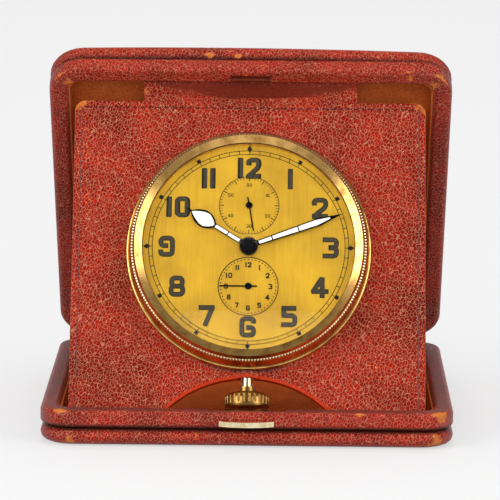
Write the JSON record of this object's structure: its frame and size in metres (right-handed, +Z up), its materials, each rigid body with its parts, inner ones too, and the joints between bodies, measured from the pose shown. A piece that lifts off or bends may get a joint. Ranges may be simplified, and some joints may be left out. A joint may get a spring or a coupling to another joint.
{
  "type": "folding travel alarm clock",
  "caption": "Folding leather travel clock: two hinged trays stand as an easel and hold a strap-hung panel with a round gilt alarm clock, crown and push catch.",
  "frame": {"origin": "middle of the base tray's underside, on the table", "axes": "+Z up, +X to the viewer's right, -Y towards the viewer, the dial faces -Y and up"},
  "size_m": [0.094, 0.1015, 0.0857],
  "materials": {
    "red_leather": "pebbled red leather with worn tan edges",
    "lining_leather": "smooth tan-brown lining",
    "board": "bare stiff board",
    "gilt_brass": "polished gilt, lightly worn",
    "dial_gilt": "fine brushed matt gilt",
    "glass": "clear domed crystal",
    "blued_steel": "dark blued steel with pale lume",
    "movement_brass": "satin brass",
    "steel": "polished steel"
  },
  "bodies": {
    "base_tray": {"base_cover": "red_leather", "base_rim": "red_leather", "base_lining": "lining_leather", "spine_leaf_base": "red_leather", "clasp_plate": "gilt_brass", "clasp_spring": "steel"},
    "back_tray": {"back_cover": "red_leather", "back_rim": "red_leather", "back_lining": "lining_leather", "spine_leaf_back": "red_leather", "strap_anchor": "red_leather", "clasp_striker": "gilt_brass"},
    "panel": {"panel_board": "board", "panel_leather": "red_leather", "panel_lining": "lining_leather", "strap_flap": "red_leather", "case_band": "gilt_brass", "bezel": "gilt_brass", "crystal": "glass", "case_back": "gilt_brass", "pendant_tube": "gilt_brass", "panel_clamp_ring": "gilt_brass", "clamp_screws": "steel", "dial": "dial_gilt", "main_plate": "movement_brass", "train_bridge": "movement_brass", "barrel_bridge": "movement_brass", "balance_cock": "movement_brass", "bridge_screws": "steel", "hairspring": "blued_steel", "alarm_gong": "steel", "alarm_barrel_arbor": "steel", "alarm_ratchet": "steel"},
    "thumb_piece": {"clasp_thumb_piece": "gilt_brass"},
    "stem_slide": {"setting_lever": "steel"},
    "crown": {"crown": "gilt_brass", "winding_stem": "steel", "winding_pinion": "steel", "sliding_pinion": "steel"},
    "crown_wheel": {"crown_wheel": "steel"},
    "ratchet": {"ratchet_wheel": "steel", "barrel_arbor": "steel"},
    "minute_hand": {"minute_hand": "blued_steel", "cannon_pinion": "movement_brass", "hand_cap": "blued_steel"},
    "minute_wheel": {"minute_wheel": "movement_brass"},
    "hour_hand": {"hour_hand": "blued_steel", "hour_wheel": "movement_brass"},
    "seconds_hand": {"seconds_hand": "blued_steel", "fourth_wheel": "movement_brass"},
    "third_wheel": {"third_wheel": "movement_brass"},
    "centre_wheel": {"centre_wheel": "movement_brass"},
    "going_barrel": {"going_barrel": "movement_brass"},
    "escape_wheel": {"escape_wheel": "movement_brass"},
    "pallet_lever": {"pallet_lever": "steel"},
    "balance": {"balance_wheel": "movement_brass"},
    "alarm_hand": {"alarm_hand": "blued_steel", "alarm_wheel": "movement_brass"},
    "alarm_barrel": {"alarm_barrel": "movement_brass"},
    "alarm_hammer": {"alarm_hammer": "steel"}
  },
  "joints": [
    {"name": "spine_hinge", "type": "hinge", "parent": "base_tray", "child": "back_tray", "pos_m": [0, 0.04675, 0.0084], "axis": [-1, 0, 0], "range_deg": [0, 128.2]},
    {"name": "panel_fold", "type": "hinge", "parent": "back_tray", "child": "panel", "pos_m": [0, -0.00684, 0.07859], "axis": [1, 0, 0], "range_deg": [0, 61.8]},
    {"name": "thumb_push", "type": "slide", "parent": "base_tray", "child": "thumb_piece", "axis": [0, 1, 0], "range_m": [0, 0.0009], "stiffness_N_per_m": 600},
    {"name": "crown_pull", "type": "slide", "parent": "panel", "child": "stem_slide", "axis": [0, -0.4003, -0.9164], "range_m": [0, 0.0005]},
    {"name": "crown_turn", "type": "hinge", "parent": "stem_slide", "child": "crown", "pos_m": [0, -0.03523, 0.01384], "axis": [0, -0.4003, -0.9164], "continuous": true},
    {"name": "crown_wheel_turn", "type": "hinge", "parent": "panel", "child": "crown_wheel", "pos_m": [0.0026, -0.02778, 0.03165], "axis": [0, 0.9164, -0.4003], "continuous": true},
    {"name": "ratchet_turn", "type": "hinge", "parent": "panel", "child": "ratchet", "pos_m": [0.00816, -0.02502, 0.03797], "axis": [0, 0.9164, -0.4003], "continuous": true},
    {"name": "minute_hand_turn", "type": "hinge", "parent": "panel", "child": "minute_hand", "pos_m": [0, -0.0235, 0.04145], "axis": [0, 0.9164, -0.4003], "continuous": true},
    {"name": "minute_wheel_turn", "type": "hinge", "parent": "panel", "child": "minute_wheel", "pos_m": [-0.006, -0.0235, 0.04145], "axis": [0, 0.9164, -0.4003], "continuous": true},
    {"name": "hour_hand_turn", "type": "hinge", "parent": "panel", "child": "hour_hand", "pos_m": [0, -0.0235, 0.04145], "axis": [0, 0.9164, -0.4003], "continuous": true},
    {"name": "seconds_hand_turn", "type": "hinge", "parent": "panel", "child": "seconds_hand", "pos_m": [0, -0.01954, 0.05053], "axis": [0, 0.9164, -0.4003], "continuous": true},
    {"name": "third_wheel_turn", "type": "hinge", "parent": "panel", "child": "third_wheel", "pos_m": [-0.0042, -0.02126, 0.04659], "axis": [0, 0.9164, -0.4003], "continuous": true},
    {"name": "centre_wheel_turn", "type": "hinge", "parent": "panel", "child": "centre_wheel", "pos_m": [0, -0.0235, 0.04145], "axis": [0, 0.9164, -0.4003], "continuous": true},
    {"name": "going_barrel_turn", "type": "hinge", "parent": "panel", "child": "going_barrel", "pos_m": [0.00816, -0.02502, 0.03797], "axis": [0, 0.9164, -0.4003], "continuous": true},
    {"name": "escape_wheel_turn", "type": "hinge", "parent": "panel", "child": "escape_wheel", "pos_m": [0.0046, -0.01849, 0.05291], "axis": [0, 0.9164, -0.4003], "continuous": true},
    {"name": "pallet_rock", "type": "hinge", "parent": "panel", "child": "pallet_lever", "pos_m": [0.008, -0.01893, 0.0519], "axis": [0, 0.9164, -0.4003], "range_deg": [-4, 4]},
    {"name": "balance_swing", "type": "hinge", "parent": "panel", "child": "balance", "pos_m": [0.0116, -0.01934, 0.05098], "axis": [0, 0.9164, -0.4003], "range_deg": [-150, 150], "stiffness_Nm_per_rad": 0.00000047},
    {"name": "alarm_hand_set", "type": "hinge", "parent": "panel", "child": "alarm_hand", "pos_m": [0, -0.0272, 0.03298], "axis": [0, 0.9164, -0.4003], "continuous": true},
    {"name": "alarm_barrel_turn", "type": "hinge", "parent": "panel", "child": "alarm_barrel", "pos_m": [-0.0099, -0.0267, 0.03412], "axis": [0, 0.9164, -0.4003], "continuous": true},
    {"name": "hammer_swing", "type": "hinge", "parent": "panel", "child": "alarm_hammer", "pos_m": [-0.0115, -0.0199, 0.0497], "axis": [0, -0.9164, 0.4003], "range_deg": [0, 8]}
  ],
  "couplings": [
    {"joint": "panel_fold", "follows": "spine_hinge", "ratio": 0.48207},
    {"joint": "crown_wheel_turn", "follows": "crown_turn", "ratio": 0.66667},
    {"joint": "ratchet_turn", "follows": "crown_turn", "ratio": -0.5},
    {"joint": "minute_wheel_turn", "follows": "minute_hand_turn", "ratio": -0.33333},
    {"joint": "hour_hand_turn", "follows": "minute_hand_turn", "ratio": 0.083333},
    {"joint": "third_wheel_turn", "follows": "seconds_hand_turn", "ratio": -0.13333},
    {"joint": "centre_wheel_turn", "follows": "seconds_hand_turn", "ratio": 0.016667},
    {"joint": "going_barrel_turn", "follows": "seconds_hand_turn", "ratio": -0.0020833},
    {"joint": "escape_wheel_turn", "follows": "seconds_hand_turn", "ratio": -8}
  ]
}
